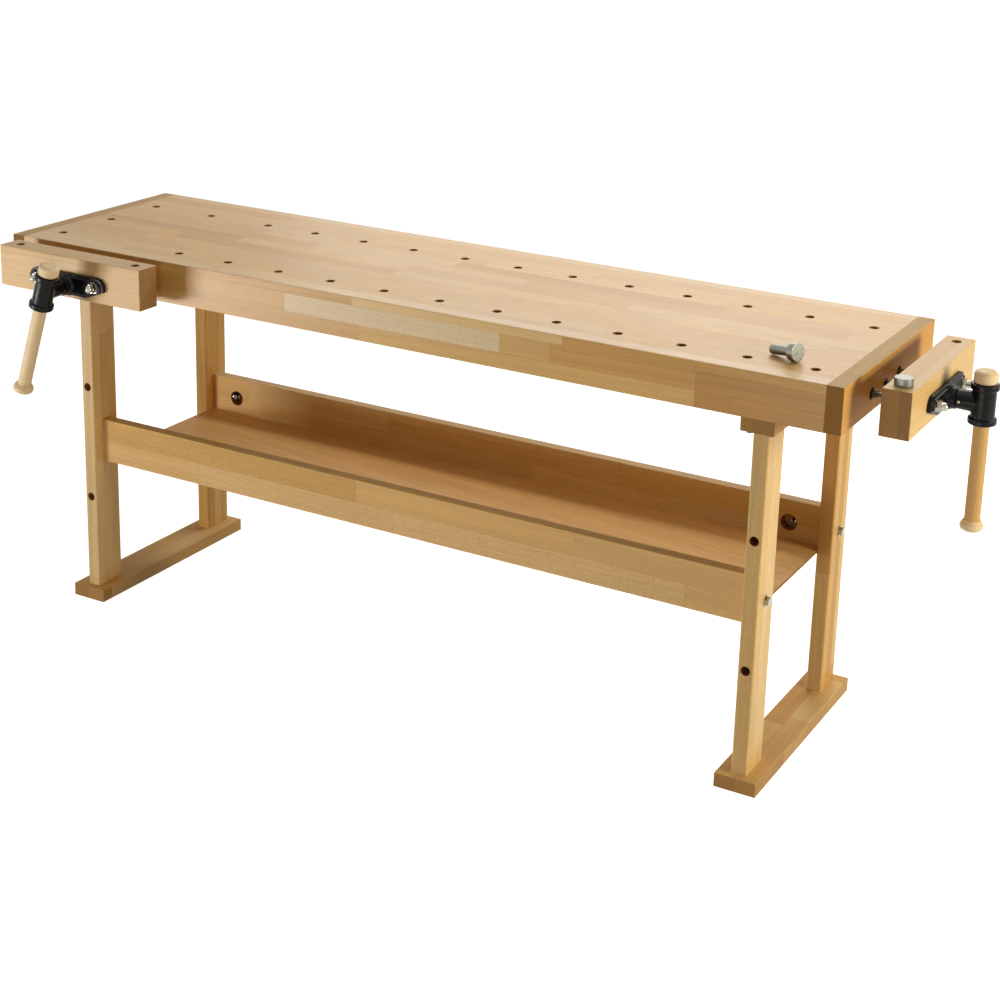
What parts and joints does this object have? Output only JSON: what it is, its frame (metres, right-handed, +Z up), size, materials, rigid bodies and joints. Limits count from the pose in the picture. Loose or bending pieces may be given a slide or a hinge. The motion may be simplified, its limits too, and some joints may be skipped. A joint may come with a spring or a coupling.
{
  "type": "woodworking bench with vises",
  "caption": "Beech woodworking bench on two trestles with a shelf, rows of dog holes in its top, and a screw vise with a sliding handle at its front and at its end.",
  "frame": {"origin": "on the floor, under the middle of the box that holds the whole bench with its vises", "axes": "+X along the bench to the end vise, +Y from the front to the back, +Z up"},
  "size_m": [2.2135, 0.7354, 0.9006],
  "materials": {
    "beech_top": "oiled, edge-glued staves",
    "beech_apron": "oiled, edge-glued staves",
    "beech_cap": "oiled, grain across the bench",
    "beech_jaw": "oiled",
    "beech_leg": "oiled",
    "beech_foot": "oiled",
    "beech_rail": "oiled, edge-glued staves",
    "beech_shelf": "oiled veneer on board",
    "turned_beech": "turned and oiled",
    "black_iron": "satin black paint on a cast skin",
    "zinc_hardware": "bright zinc plate",
    "bright_steel": "ground steel",
    "dark_steel": "blackened steel",
    "brushed_steel": "turned steel"
  },
  "bodies": {
    "bench": {"back_apron": "beech_apron", "back_left_leg": "beech_leg", "back_rail": "beech_rail", "back_right_leg": "beech_leg", "end_vise_bracket": "black_iron", "end_vise_bracket_screws": "zinc_hardware", "front_apron": "beech_apron", "front_left_leg": "beech_leg", "front_rail": "beech_rail", "front_right_leg": "beech_leg", "front_vise_bracket": "black_iron", "front_vise_bracket_screws": "zinc_hardware", "left_end_cap": "beech_cap", "left_foot": "beech_foot", "left_top_bar": "beech_foot", "rail_bolts": "zinc_hardware", "rail_nuts": "zinc_hardware", "rail_washers": "zinc_hardware", "right_end_cap": "beech_cap", "right_foot": "beech_foot", "right_top_bar": "beech_foot", "shelf_panel": "beech_shelf", "top_panel": "beech_top", "top_screws": "zinc_hardware"},
    "front_jaw": {"front_vise_jaw": "beech_jaw", "front_vise_flange": "black_iron", "front_vise_guide_rods": "bright_steel", "front_vise_rod_washers": "zinc_hardware", "front_vise_cap_nuts": "zinc_hardware"},
    "front_screw": {"front_vise_lead_screw": "dark_steel", "front_vise_hub": "black_iron", "front_vise_hub_pin": "bright_steel"},
    "front_handle": {"front_vise_handle_bar": "turned_beech", "front_vise_handle_upper_knob": "turned_beech", "front_vise_handle_lower_knob": "turned_beech"},
    "end_jaw": {"end_vise_jaw": "beech_jaw", "end_vise_flange": "black_iron", "end_vise_guide_rods": "bright_steel", "end_vise_rod_washers": "zinc_hardware", "end_vise_cap_nuts": "zinc_hardware"},
    "end_screw": {"end_vise_lead_screw": "dark_steel", "end_vise_hub": "black_iron", "end_vise_hub_pin": "bright_steel"},
    "end_handle": {"end_vise_handle_bar": "turned_beech", "end_vise_handle_upper_knob": "turned_beech", "end_vise_handle_lower_knob": "turned_beech"},
    "standing_dog": {"standing_dog": "brushed_steel"},
    "loose_dog": {"loose_dog": "brushed_steel"}
  },
  "joints": [
    {"name": "front_jaw_slide", "type": "slide", "parent": "bench", "child": "front_jaw", "axis": [0, -1, 0], "range_m": [-0.0328, 0.12]},
    {"name": "front_screw_turn", "type": "hinge", "parent": "front_jaw", "child": "front_screw", "pos_m": [-0.85975, -0.34075, 0.804], "axis": [0, -1, 0], "range_deg": [-2361, 8639]},
    {"name": "front_handle_slide", "type": "slide", "parent": "front_screw", "child": "front_handle", "axis": [0.3007, 0, 0.9537], "range_m": [0, 0.193]},
    {"name": "end_jaw_slide", "type": "slide", "parent": "bench", "child": "end_jaw", "axis": [1, 0, 0], "range_m": [-0.0548, 0.12]},
    {"name": "end_screw_turn", "type": "hinge", "parent": "end_jaw", "child": "end_screw", "pos_m": [1.07975, 0.06825, 0.804], "axis": [1, 0, 0], "range_deg": [-3945, 8639]},
    {"name": "end_handle_slide", "type": "slide", "parent": "end_screw", "child": "end_handle", "axis": [0, 0, 1], "range_m": [0, 0.193]},
    {"name": "standing_dog_lift", "type": "slide", "parent": "end_jaw", "child": "standing_dog", "axis": [0, 0, 1], "range_m": [0, 0.08]},
    {"name": "loose_dog_lift", "type": "slide", "parent": "bench", "child": "loose_dog", "axis": [0, 0, 1], "range_m": [0, 0.2]}
  ],
  "couplings": [
    {"joint": "front_jaw_slide", "follows": "front_screw_turn", "m_per_rad": 0.00079577},
    {"joint": "end_jaw_slide", "follows": "end_screw_turn", "m_per_rad": 0.00079577}
  ]
}
